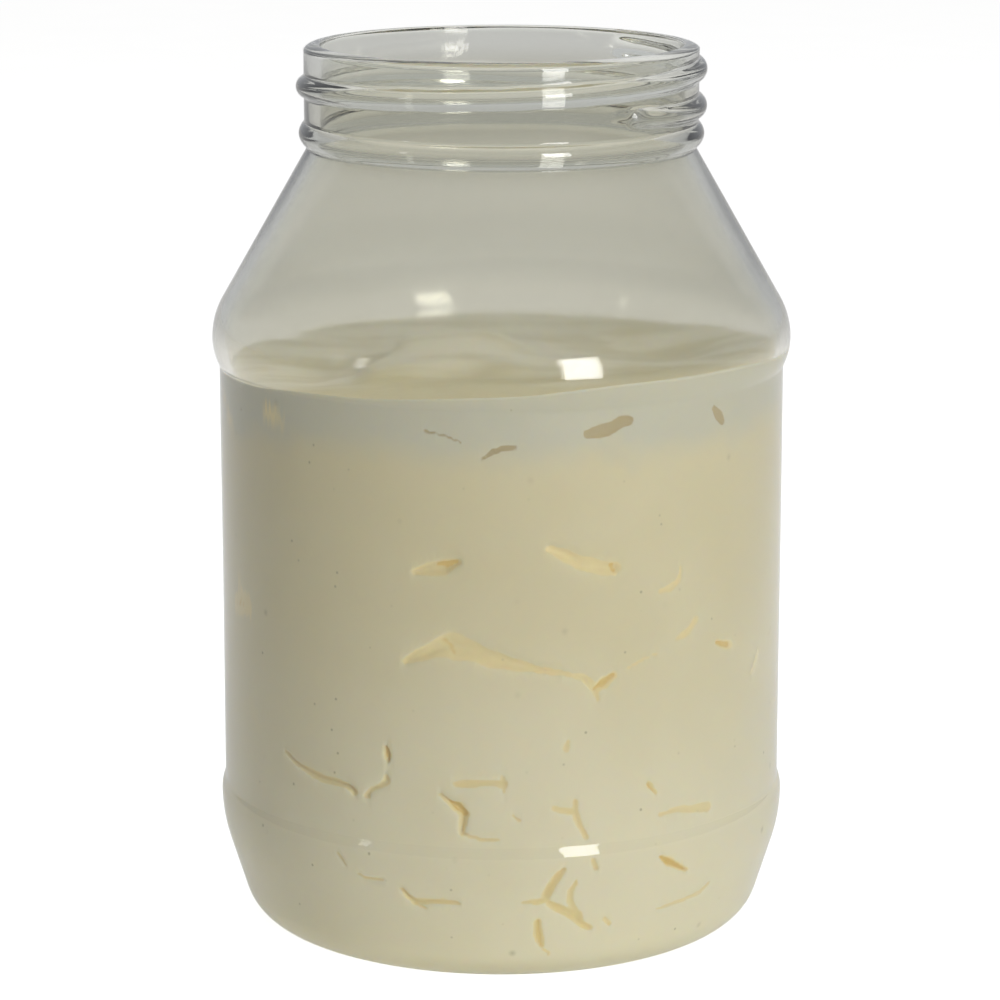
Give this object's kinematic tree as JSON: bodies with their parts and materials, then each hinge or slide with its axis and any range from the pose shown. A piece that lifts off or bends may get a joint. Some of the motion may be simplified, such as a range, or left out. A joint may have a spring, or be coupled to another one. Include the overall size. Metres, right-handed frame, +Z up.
{
  "type": "jar of mayonnaise",
  "caption": "Wide-mouth clear plastic jar, open and without its lid, with a screw neck, a straight label panel between two beads and mayonnaise filled to the shoulder",
  "frame": {"origin": "middle of the standing plane, on the jar's axis", "axes": "+Z up along the jar's axis, -Y towards the front, where the lower end of the screw thread shows on the right"},
  "size_m": [0.1588, 0.1588, 0.2438],
  "materials": {
    "clear_plastic": "clear, glossy, faintly grey-green",
    "mayonnaise": "thick, satin, pale creamy yellow"
  },
  "bodies": {
    "root": {"jar": "clear_plastic", "mayonnaise": "mayonnaise"}
  },
  "joints": []
}
